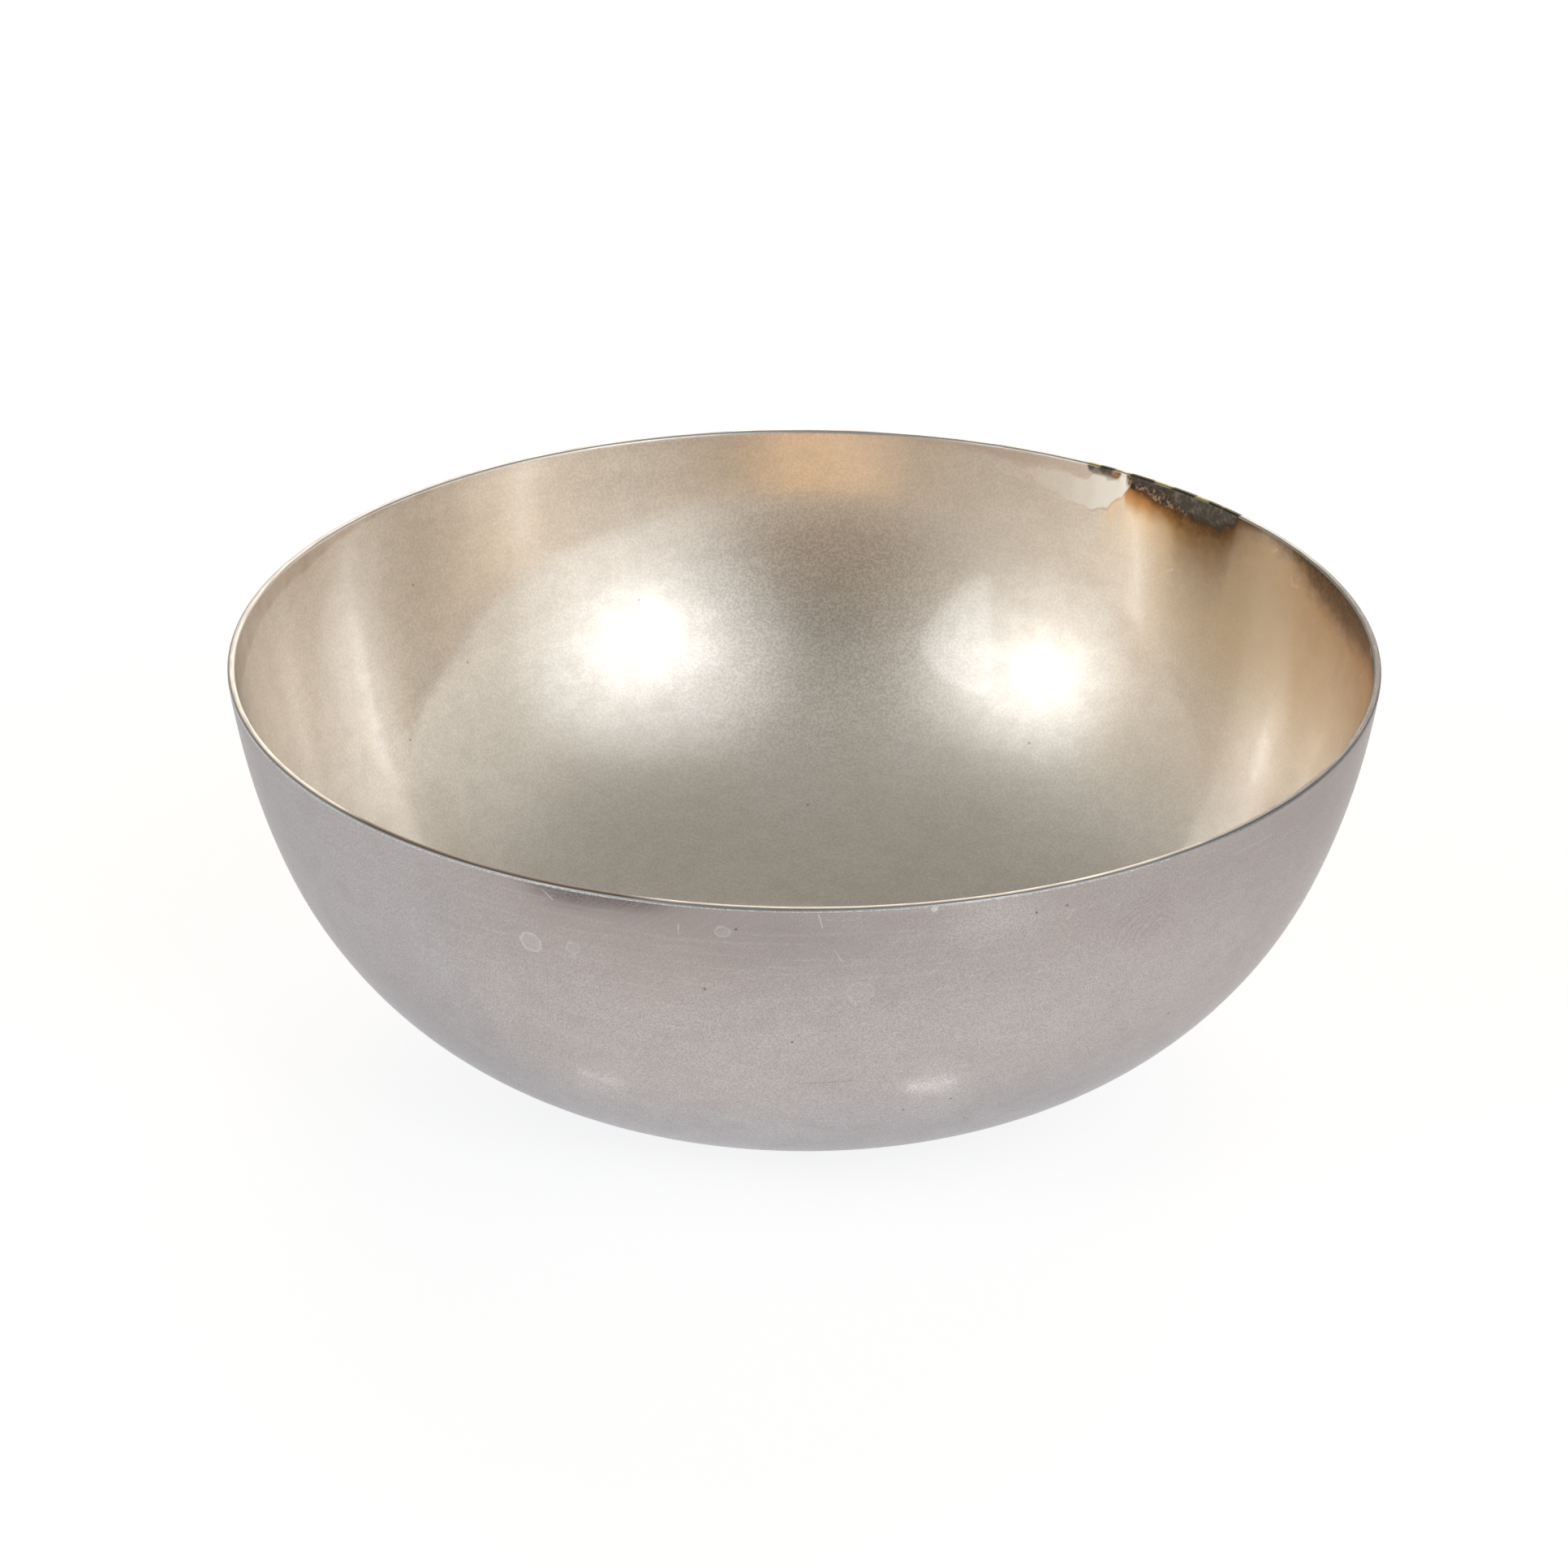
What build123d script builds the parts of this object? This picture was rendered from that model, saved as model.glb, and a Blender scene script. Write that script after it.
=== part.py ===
"""A plain footless offering bowl, spun from one disc of silver-plated brass sheet.

Millimetres, +Z up. The origin is the middle of the flat that the bowl stands on, and the bowl is
round about Z. The whole object is one piece of metal of one thickness: a flat base, a round heel
that turns the sheet upwards, a side that is nearly straight, and a rim that is simply the cut edge.
"""
from build123d import *
from math import cos, radians, sin
import os

# Driving dimensions, all of the outer face of the metal
rim_diameter = 90.0   # across the outer corner of the rim
bowl_height = 33.0    # from the table to the outer corner of the rim
base_diameter = 25.4  # the flat in the middle of the base
heel_reach = 20.4     # from the flat's edge to where base and heel would meet in a sharp corner
rim_lean = 7.4        # how far the side leans outwards at the rim, in degrees from upright
sheet = 0.6           # thickness of the metal, the same all over
corner_break = 0.1    # how much of the cut rim's two sharp corners has been rubbed off

# Heel and side are two arcs that touch each other. The heel leaves the base level, and the side
# reaches the rim at its lean. Each arc rounds off a sharp corner, and it touches both of that
# corner's lines at the same distance: heel_reach at the heel's corner, side_reach at the side's.
# The arcs meet on the line between the two corners, which is heel_reach plus side_reach long,
# and that sets side_reach.
base_edge = Vector(base_diameter / 2, 0)
rim_corner = Vector(rim_diameter / 2, bowl_height)
along_base = Vector(1, 0)
up_the_rim = Vector(sin(radians(rim_lean)), cos(radians(rim_lean)))
span = rim_corner - base_edge
turn_left_over = 1 - along_base.dot(up_the_rim)
side_reach = (span.dot(span) - 2 * heel_reach * span.dot(along_base)) / (
    2 * (span.dot(up_the_rim) + heel_reach * turn_left_over)
)
heel_corner = base_edge + along_base * heel_reach
side_corner = rim_corner - up_the_rim * side_reach
meeting_point = heel_corner + (side_corner - heel_corner) * (heel_reach / (heel_reach + side_reach))

# The bowl: the outer line of half a section, given the sheet's thickness and turned about Z
with BuildPart() as bowl:
    with BuildSketch(Plane.XZ) as section:
        with BuildLine() as outer_face:
            base = Line((0, 0), base_edge)
            heel = TangentArc([base @ 1, meeting_point], tangent=base % 1)
            side = TangentArc([heel @ 1, rim_corner], tangent=heel % 1)
            offset(amount=sheet, side=Side.LEFT)
        make_face()
        rim_corners = section.vertices().sort_by(Axis.Y)[-2:]
        chamfer(rim_corners, length=corner_break)
    revolve(axis=Axis.Z)
bowl.part.label = "bowl"

os.makedirs("parts", exist_ok=True)
export_step(bowl.part, "parts/bowl.step")

inner_depth = bowl.part.bounding_box().max.Z - sheet
print(f"heel radius {heel.radius:.2f}, side radius {side.radius:.2f}, depth inside {inner_depth:.2f} mm")
print(f"metal {bowl.part.volume / 1000:.2f} cubic centimetres")
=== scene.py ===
# %% [markdown]
# # A tarnished offering bowl
#
# The real object is one disc of silvered sheet, spun into a bowl with no foot. Nothing is fixed to
# it and nothing moves, so the whole lesson is about one good surface: its section, the finish of
# its two faces and its cut edge, and the scorched patch inside the rim.
#
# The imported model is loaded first. It fixes the size and the place of everything below.

import math

import bpy
import numpy as np
from mathutils import Matrix, Vector


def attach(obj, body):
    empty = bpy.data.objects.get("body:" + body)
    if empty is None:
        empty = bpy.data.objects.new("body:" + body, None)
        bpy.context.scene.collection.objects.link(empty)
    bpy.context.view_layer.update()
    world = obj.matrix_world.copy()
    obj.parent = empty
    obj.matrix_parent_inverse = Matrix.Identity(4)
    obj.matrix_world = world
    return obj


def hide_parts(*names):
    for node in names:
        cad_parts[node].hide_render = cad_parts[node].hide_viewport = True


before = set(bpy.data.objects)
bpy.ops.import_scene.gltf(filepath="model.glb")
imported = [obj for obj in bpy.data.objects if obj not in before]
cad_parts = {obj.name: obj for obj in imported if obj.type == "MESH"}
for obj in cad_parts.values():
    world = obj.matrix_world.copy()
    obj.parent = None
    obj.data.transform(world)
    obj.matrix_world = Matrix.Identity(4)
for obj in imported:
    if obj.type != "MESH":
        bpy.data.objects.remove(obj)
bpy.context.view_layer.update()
MM = 0.001

# %% [markdown]
# ## The section
#
# Cut the bowl through its axis and each half shows a thin bent strip. Its outer line is a short
# flat, a heel and a side: two arcs that touch. It could be drawn as a spline, but arcs are what a
# spinning tool leaves, and an arc has an exact offset, so the inner line keeps the sheet's
# thickness everywhere. The rim is the cut end of the strip, with its two corners rubbed round.

# %% The lines of the section
RIM_RADIUS = 45.0 * MM
HEIGHT = 33.0 * MM
BASE_RADIUS = 12.7 * MM
HEEL_REACH = 20.4 * MM
RIM_LEAN = math.radians(7.4)
SHEET = 0.6 * MM
CORNER = 0.22 * MM


def arcs_of_the_wall():
    """Centre, radius, first and last angle of the heel and of the side, of the outer face.

    Both arcs round off a corner between straight lines. HEEL_REACH is the distance from the heel's
    corner to where its arc starts and ends. The side's own reach follows, because the arcs meet on
    the line between the corners. An angle is that of the outward normal, from straight down."""
    along_base = np.array([1.0, 0.0])
    up_the_rim = np.array([math.sin(RIM_LEAN), math.cos(RIM_LEAN)])
    base_edge = np.array([BASE_RADIUS, 0.0])
    rim_corner = np.array([RIM_RADIUS, HEIGHT])
    span = rim_corner - base_edge
    turn = 1 - along_base @ up_the_rim
    side_reach = (span @ span - 2 * HEEL_REACH * span[0]) / (2 * (span @ up_the_rim + HEEL_REACH * turn))
    heel_corner = base_edge + HEEL_REACH * along_base
    between = rim_corner - side_reach * up_the_rim - heel_corner
    meet = math.atan2(between[1], between[0])
    end = math.pi / 2 - RIM_LEAN
    heel_radius = HEEL_REACH / math.tan(meet / 2)
    side_radius = side_reach / math.tan((end - meet) / 2)
    heel_centre = np.array([BASE_RADIUS, heel_radius])
    inward = np.array([-math.sin(meet), math.cos(meet)])
    side_centre = heel_centre + (side_radius - heel_radius) * inward
    return (heel_centre, heel_radius, 0.0, meet), (side_centre, side_radius, meet, end)


def wall_line(inset, fine_depth=0.0, fine_steps=0, flat_steps=6, heel_steps=30, side_steps=12):
    """Points from the axis to the rim on the face that lies `inset` inside the outer one.

    A straight flat, then each arc with its radius shortened by the inset, at even angles. The last
    `fine_depth` below the rim can have `fine_steps` of its own. The line stops where the rim's
    rounded corner begins."""
    (heel_centre, heel_radius, low, meet), (side_centre, side_radius, _, end) = arcs_of_the_wall()
    last = end - CORNER / (side_radius - inset)
    fine_from = last - fine_depth / (side_radius - inset)
    along_flat = np.linspace(0, BASE_RADIUS, flat_steps + 1)
    along_heel = np.linspace(low, meet, heel_steps + 1)[1:]
    along_side = np.linspace(meet, fine_from, side_steps + 1)[1:]
    along_side = np.concatenate([along_side, np.linspace(fine_from, last, fine_steps + 1)[1:]])
    heel_rays = np.stack([np.sin(along_heel), -np.cos(along_heel)], 1)
    side_rays = np.stack([np.sin(along_side), -np.cos(along_side)], 1)
    return np.concatenate([
        np.stack([along_flat, np.full(flat_steps + 1, inset)], 1),
        heel_centre + (heel_radius - inset) * heel_rays,
        side_centre + (side_radius - inset) * side_rays,
    ])


def rim_line(corner_steps=5, flat_steps=4):
    """Points over the cut edge, from the outer face to the inner one.

    In the edge's own axes, up the wall and across the sheet: a quarter circle, a flat and a quarter
    circle. They are then turned by the rim's lean and put at the rim's outer corner."""
    quarter = np.linspace(0, math.pi / 2, corner_steps + 1)
    up = np.concatenate([
        CORNER * np.sin(quarter),
        np.full(flat_steps - 1, CORNER),
        CORNER * np.cos(quarter),
    ])
    over = np.concatenate([
        CORNER * (1 - np.cos(quarter)),
        np.linspace(CORNER, SHEET - CORNER, flat_steps + 1)[1:-1],
        SHEET - CORNER + CORNER * np.sin(quarter),
    ])
    up = up - CORNER
    r = RIM_RADIUS + up * math.sin(RIM_LEAN) - over * math.cos(RIM_LEAN)
    z = HEIGHT + up * math.cos(RIM_LEAN) + over * math.sin(RIM_LEAN)
    return np.stack([r, z], 1)


CRUST_ROOM = 5.0 * MM
outside = wall_line(0.0)
edge = rim_line()
inside = wall_line(SHEET, fine_depth=CRUST_ROOM, fine_steps=24)[::-1]
section = np.concatenate([outside, edge[1:-1], inside])
run = np.concatenate([[0], np.cumsum(np.linalg.norm(np.diff(section, axis=0), axis=1))]) / MM
rim_middle = run[len(outside) + len(edge) // 2 - 1]
fall = np.abs(run - rim_middle)
print("section points:", len(section), "rim top, mm:", round(float(section[:, 1].max()) / MM, 3))
print("from the rim to the middle of the floor, mm:", round(float(fall[-1]), 2))

# %% [markdown]
# ## Where the tarnish is
#
# The bowl was heated at one place of the rim. There a black crust sits inside the rim, with a brown
# and orange halo below it, a dark film that runs on along the rim, and a pale patch that was wiped
# clean. They could be painted by hand on a picture, but they follow the rim, so two measures place
# them: the turn round the axis, in degrees from +X, and the fall below the rim, in millimetres down
# the wall.
# A handful of stations says how deep each one reaches, and a smooth line runs through them.

# %% Lines through a few stations
RIM_MM_PER_DEGREE = math.radians(1) * RIM_RADIUS / MM


def eased(x, stations):
    """A line through stations (x, y) that is level at each: between two it goes by 3t² - 2t³.

    Before the first station and after the last it stays level."""
    xs, ys = np.array(stations, float).T
    i = np.clip(np.searchsorted(xs, x) - 1, 0, len(xs) - 2)
    t = np.clip((x - xs[i]) / (xs[i + 1] - xs[i]), 0, 1)
    return ys[i] + (ys[i + 1] - ys[i]) * t * t * (3 - 2 * t)


def crumbs(along, down, size, seed, count=24):
    """A rough field of about -1 to 1: sine waves of random way and phase, about `size` mm long."""
    rng = np.random.default_rng(seed)
    way = rng.uniform(0, 2 * math.pi, count)
    pace = 2 * math.pi / (size * rng.uniform(0.7, 1.5, count))
    start = rng.uniform(0, 2 * math.pi, count)
    along, down = np.broadcast_arrays(along, down)
    waves = np.sin(pace * (along[..., None] * np.cos(way) + down[..., None] * np.sin(way)) + start)
    return waves.sum(-1) / math.sqrt(count)


BROWN_ROUND = ((30, 0), (37, 1), (53.4, 1), (54.4, 0))
SOOT_DEPTH = ((36.8, -0.8), (38.6, 1.3), (40.5, 1.9), (43.5, 2.1), (46.0, 1.7), (48.0, 1.15), (50.0, 0.9),
              (52.0, 0.8), (52.8, 0.6), (53.3, -0.4), (53.9, -0.4), (54.5, 0.7), (57.0, 0.75), (58.2, 0.6),
              (58.9, -0.8))
ASH_DEPTH = ((43.0, -0.5), (45.5, 2.1), (49.0, 1.8), (51.7, 1.45), (53.2, 1.1), (54.0, -0.5))
FILM_DEPTH = ((-18, -1.6), (-8, 0.7), (0, 1.6), (8, 2.6), (14, 3.0), (19, 2.8), (23, 2.4), (26, 1.6),
              (29, 1.0), (33, 0.5), (37, 0.7), (39.5, 0.4), (41.5, -1.6))
WIPED_FLOOR = ((52.2, -0.6), (53.1, 1.4), (54.1, 2.4), (55.8, 3.5), (57.6, 4.0), (60.6, 3.5), (63.9, 3.0),
               (65.4, 2.0), (66.2, 1.0))
WHITE_SHARE = ((53.0, 1.0), (56.5, 1.0), (58.5, 0.6), (61.0, 0.35), (64.0, 0.3), (66.0, 0.1))
WIPED_TOP = ((52.2, 0.2), (54.0, 0.2), (54.8, 0.85), (57.3, 1.0), (58.8, 1.6), (61.4, 1.3), (65.2, 1.7),
             (66.2, 1.9))
ROSY_DEPTH = ((50.0, -0.5), (57.5, 1.2), (59.0, 1.7), (62.0, 1.3), (66.0, 1.6), (72.0, 0.9), (90.0, 0.5),
              (110.0, -0.4))
LEFT_DEPTH = ((112, -0.3), (134, 0.5), (147, 0.9), (151, 1.3), (156, 1.6), (165, 1.8), (172, 2.6),
              (178, 3.0), (190, 2.6), (215, 1.2), (250, -0.3))
BROWN_REACH = ((30, 0.5), (36, 1.0), (40, 3.1), (45, 2.9), (48, 1.3), (51, 0.45), (54, 0.35))
SMOKE_SHARE = ((29, 0), (34, 0.15), (38, 0.85), (44, 0.9), (47.5, 0.35), (50, 0))
ORANGE_SHARE = ((36, 0.2), (43, 0.5), (47, 0.85), (51, 1.0), (54.4, 1.0), (57.4, 0))
TAN_SHARE = ((-16, 0), (-4, 0.8), (10, 1.0), (19, 1.0), (25, 0.6), (30, 0.2), (38, 0.15), (42, 0))
GOLD_ROUND = ((-90, 1.25), (-70, 1.1), (-45, 0.7), (-25, 0.7), (25, 1.0), (46, 0.75), (54, 0.3),
              (75, 0.2), (100, 0), (230, 0), (255, 0.9), (270, 1.25))
GOLD_DOWN = ((0, 1.0), (9, 0.9), (18, 0.4), (28, 0))
# By turn: where a cool reflection of the room is painted on the left of the outside.
PAINTED_COOL_REFLECTION = ((150, 0.2), (185, 0.6), (205, 1.0), (228, 0.8), (246, 0))
GREY_EDGE = ((-65, 0), (-35, 0.8), (0, 1.0), (20, 0.8), (30, 0.5), (36, 0.2), (70, 0))
DARK_EDGE = ((216, 0), (224, 1), (252, 1), (257, 0))

# %% [markdown]
# ## The bowl's surface
#
# A revolved profile is a grid: one parameter runs along the section, the other round the axis.
# Blender's Screw modifier would do it, but worked out as arrays the surface can carry its own
# measures, and its columns and rows can lie closer together where the crust needs relief. Sheet
# that was pushed over a form by hand is never quite true, so the wall waves inwards by a few
# hundredths of a millimetre, both faces alike: that is what makes the reflections wander a little.

# %% Columns round the bowl, and how far each point leaves the true surface
PLAIN_STEP, FINE_STEP = 0.74, 0.27
FINE_FROM, FINE_TO = 34.0, 68.0
DENT = 0.045 * MM
DENT_SHARE = ((0.6, 0), (3, 1), (22, 1), (31, 0))
CRUST_HEIGHT = 0.10 * MM


def columns():
    """Angles in degrees from -90 up to 270, close together between FINE_FROM and FINE_TO."""
    before = (-90.0, FINE_FROM, PLAIN_STEP)
    close = (FINE_FROM, FINE_TO, FINE_STEP)
    after = (FINE_TO, 270.0, PLAIN_STEP)
    return np.concatenate([
        np.linspace(start, end, round((end - start) / step), endpoint=False)
        for start, end, step in (before, close, after)
    ])


def dents(turn, fall, count=14):
    """From 0 to 1: waves with a whole number of crests round the bowl, gone at the rim and the base."""
    rng = np.random.default_rng(11)
    crests = rng.integers(4, 19, count)
    pace = rng.uniform(-0.35, 0.35, count)
    start = rng.uniform(0, 2 * math.pi, count)
    waves = np.sin(np.radians(turn)[..., None] * crests + fall[..., None] * pace + start).sum(-1)
    share = np.clip(0.5 + waves / (2.6 * math.sqrt(count)), 0, 1)
    return share * eased(fall, DENT_SHARE)


turn = columns()
turns, falls = np.broadcast_arrays(turn[None, :], fall[:, None])
along = turns * RIM_MM_PER_DEGREE
is_inside = (np.arange(len(section)) >= len(section) - len(inside))[:, None]

ragged = 0.16 * crumbs(along, falls, 1.3, 3) + 0.07 * crumbs(along, falls, 0.5, 4)
soot = eased(turns, SOOT_DEPTH) - falls + ragged
ash = eased(turns, ASH_DEPTH) - falls + ragged
lumps = np.clip(0.55 + 0.45 * crumbs(along, falls, 0.7, 5), 0, 1)
crusted = eased(np.maximum(soot, ash), ((-0.1, 0), (0.5, 1)))
relief = CRUST_HEIGHT * crusted * lumps * eased(falls, ((0.55, 0), (1.0, 1)))
away = DENT * dents(turns, falls) * np.where(is_inside, 1, -1) + relief * is_inside
print("columns:", len(turn), "greatest relief of the crust, mm:", round(float(relief.max()) / MM, 3))

# %% [markdown]
# ## From arrays to a mesh
#
# The rows of the grid are rings round the axis, and its two ends are single points, in the middle of
# the base and of the floor. Quads join each ring to the next, and a fan of triangles closes each end.
# Edit mode could do the same by extruding, but here the corners of every face follow from two counts,
# in an order that makes all faces look out of the metal. The volume printed at the end is a test of
# that: it has to be the metal's own, and a face turned the wrong way would change it.

# %% Turn the section into a mesh


def section_normals(section):
    """Unit vectors out of the metal: the section's own direction, turned a quarter to the right."""
    step = np.gradient(section, axis=0)
    step /= np.linalg.norm(step, axis=1, keepdims=True)
    return np.stack([step[:, 1], -step[:, 0]], 1)


def turned(section, away, angles):
    """Every section point, moved `away` along its normal, carried round Z: x = r cos a, y = r sin a.

    The first and last points lie on the axis, so each is one point."""
    normal = section_normals(section)
    r = section[1:-1, :1] + away[1:-1] * normal[1:-1, :1]
    z = section[1:-1, 1:] + away[1:-1] * normal[1:-1, 1:]
    ring = np.stack([r * np.cos(angles), r * np.sin(angles), z], -1)
    poles = np.array([[0, 0, section[0, 1]], [0, 0, section[-1, 1]]])
    return np.concatenate([ring.reshape(-1, 3), poles])


def turned_faces(rings, columns):
    """Quads between neighbouring rings and a fan of triangles at each pole, all facing outwards."""
    i = np.arange(columns)
    j = (i + 1) % columns
    row = (np.arange(rings - 1) * columns)[:, None]
    quads = np.stack([row + i, row + j, row + columns + j, row + columns + i], -1).reshape(-1, 4)
    last = (rings - 1) * columns
    under = np.stack([j, i, np.full(columns, rings * columns)], 1)
    floor = np.stack([last + i, last + j, np.full(columns, rings * columns + 1)], 1)
    return quads, np.concatenate([under, floor])


def mesh_of(name, points, faces):
    """A mesh from arrays: points, and lists of faces that each have one number of corners."""
    corners = np.concatenate([f.ravel() for f in faces]).astype(np.int32)
    sides = np.concatenate([np.full(len(f), f.shape[1]) for f in faces])
    starts = np.concatenate([[0], np.cumsum(sides)[:-1]]).astype(np.int32)
    mesh = bpy.data.meshes.new(name)
    mesh.vertices.add(len(points))
    mesh.vertices.foreach_set("co", points.astype(np.float32).ravel())
    mesh.loops.add(len(corners))
    mesh.loops.foreach_set("vertex_index", corners)
    mesh.polygons.add(len(sides))
    mesh.polygons.foreach_set("loop_start", starts)
    mesh.polygons.foreach_set("use_smooth", np.ones(len(sides), bool))
    mesh.update(calc_edges=True)
    mesh.validate()
    return mesh


def volume_of(points, quads, fans):
    """Volume inside closed faces: a sixth of the sum of the corners' triple products, in mm³."""
    triangles = np.concatenate([quads[:, [0, 1, 2]], quads[:, [0, 2, 3]], fans])
    a, b, c = (points[triangles[:, k]] / MM for k in range(3))
    return float(np.einsum("ij,ij->i", a, np.cross(b, c)).sum() / 6)


points = turned(section, away, np.radians(turn))
rings = len(section) - 2
quads, fans = turned_faces(rings, len(turn))
bowl_mesh = mesh_of("silver_bowl", points, (quads, fans))
bowl = bpy.data.objects.new("silver_bowl", bowl_mesh)
bpy.context.scene.collection.objects.link(bowl)
print("triangles:", 2 * len(quads) + len(fans), "metal, mm³:", round(volume_of(points, quads, fans)))

# %% [markdown]
# ## Three finishes on one sheet
#
# The inner face, the cut edge and the outer face have aged apart, so each has a finish of its own,
# by the strip of the grid that a face lies in. Vertex paint could hold the stains as colours, but
# they would be as coarse as the mesh. So the mesh keeps plain measures, such as how deep a point
# lies in the soot, and the finish turns them into colours and adds ragged edges of its own.

# %% Three finishes, and the measures that they read
INSIDE, RIM, OUTSIDE = 0, 1, 2
strip = np.arange(rings - 1)
outside_end = len(outside) - 2
rim_end = outside_end + len(edge) - 2
finish_of_strip = np.select([strip < outside_end, strip < rim_end], [OUTSIDE, RIM], INSIDE)
finish_of_fans = np.repeat([OUTSIDE, INSIDE], len(turn))
finish_of_face = np.concatenate([np.repeat(finish_of_strip, len(turn)), finish_of_fans])
bowl_mesh.polygons.foreach_set("material_index", finish_of_face.astype(np.int32))


def keep(name, grid):
    """Stores a measure, one row for each section point and one column for each turn, on the mesh."""
    values = np.concatenate([grid[1:-1].ravel(), [grid[0, 0], grid[-1, 0]]])
    bowl_mesh.attributes.new(name, "FLOAT", "POINT").data.foreach_set("value", values.astype(np.float32))


def fading(depth, reach, power):
    """1 down to a depth below the rim, then falling off as exp(-(distance / reach) ** power)."""
    return np.exp(-((falls - depth).clip(0) / reach) ** power)


crust_depth = np.maximum(eased(turns, SOOT_DEPTH), eased(turns, ASH_DEPTH)).clip(0)
film_depth = eased(turns, FILM_DEPTH)
wiped = np.minimum(eased(turns, WIPED_FLOOR) - falls, falls - eased(turns, WIPED_TOP))
brown = fading(crust_depth, eased(turns, BROWN_REACH), 1.2) * eased(turns, BROWN_ROUND)
keep("fall", falls)
keep("across", np.broadcast_to(np.clip(run - rim_middle, -1, 1)[:, None], falls.shape))
keep("soot", soot)
keep("ash", ash)
keep("film", film_depth - falls)
keep("wiped", wiped + 0.1 * crumbs(along, falls, 1.6, 8))
keep("white", eased(turns, WHITE_SHARE))
keep("rosy", eased(turns, ROSY_DEPTH) - falls)
keep("left", eased(turns, LEFT_DEPTH) - falls + 0.14 * crumbs(along, falls, 3.5, 9))
keep("brown", brown)
keep("smoke", fading(crust_depth, 5.0, 2.0) * eased(turns, SMOKE_SHARE))
keep("orange", fading(crust_depth, 3.9, 1.6) * eased(turns, ORANGE_SHARE))
keep("tan", fading(film_depth.clip(0), 3.2, 1.2) * eased(turns, TAN_SHARE))
keep("gold", eased(turns, GOLD_ROUND) * eased(falls, GOLD_DOWN))
keep("dark_edge", eased(turns, DARK_EDGE))
keep("grey_edge", eased(turns, GREY_EDGE))
print("measures:", [a.name for a in bowl_mesh.attributes if a.domain == "POINT" and a.data_type == "FLOAT"])

# %% [markdown]
# ## Painted reflections on the outside
#
# Light and dark patches on the outer face are painted reflections of the surroundings, soft and with
# no clear edge. A noise texture would put them anywhere, so a short list puts them where this bowl
# shows them. A patch has a turn, a fall, a width in degrees, a depth in millimetres, and a strength
# that is negative where the metal is darker.

# %% Painted reflections that lighten or darken the outside
PAINTED_REFLECTION_PATCHES = ((-113.0, 0.3, 5.0, 1.5, -1.9), (-106.0, 0.3, 4.0, 1.1, -1.4), (-91.0, 2.5, 13.0, 5.0, -0.5),
           (-121.0, 2.2, 3.0, 2.0, 0.25), (-128.0, 5.5, 4.0, 5.0, -0.35), (-72.0, 2.0, 6.5, 2.4, 0.7),
           (-66.0, 6.0, 14.0, 5.0, 0.3), (-112.0, 6.5, 6.0, 3.0, 0.25), (-84.9, 1.8, 1.6, 0.7, 0.3),
           (-52.0, 3.0, 8.0, 3.0, -0.3), (-30.0, 6.0, 18.0, 6.0, 0.15), (60.0, 3.0, 22.0, 4.0, -0.5),
           (150.0, 6.0, 20.0, 6.0, 0.4), (-62.0, 23.0, 16.0, 6.0, -0.3))


def painted_reflection_sum(turn, fall):
    """Sum of soft patches: strength times exp(-(turn offset / width)² - (fall offset / depth)²)."""
    total = np.zeros(turn.shape)
    for at_turn, at_fall, wide, deep, strength in PAINTED_REFLECTION_PATCHES:
        aside = (turn - at_turn + 180) % 360 - 180
        total += strength * np.exp(-(aside / wide) ** 2 - ((fall - at_fall) / deep) ** 2)
    return total


keep("painted_reflection_sum", painted_reflection_sum(turns, falls))
keep("painted_cool_share", eased(turns, PAINTED_COOL_REFLECTION))
print("patches on the outside:", len(PAINTED_REFLECTION_PATCHES))

# %% [markdown]
# ## Building finishes from nodes
#
# Each finish is a network of nodes. Wiring them by hand hides the recipe, so a helper adds one node
# per call and hands back its output: a finish then reads like arithmetic.

# %% A helper for recipes of nodes


def paint(red, green, blue):
    """A colour written as screen values from 0 to 255, as the linear values that sockets take."""
    s = np.array([red, green, blue]) / 255
    linear = np.where(s <= 0.04045, s / 12.92, ((s + 0.055) / 1.055) ** 2.4)
    return (*linear.tolist(), 1.0)


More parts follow.
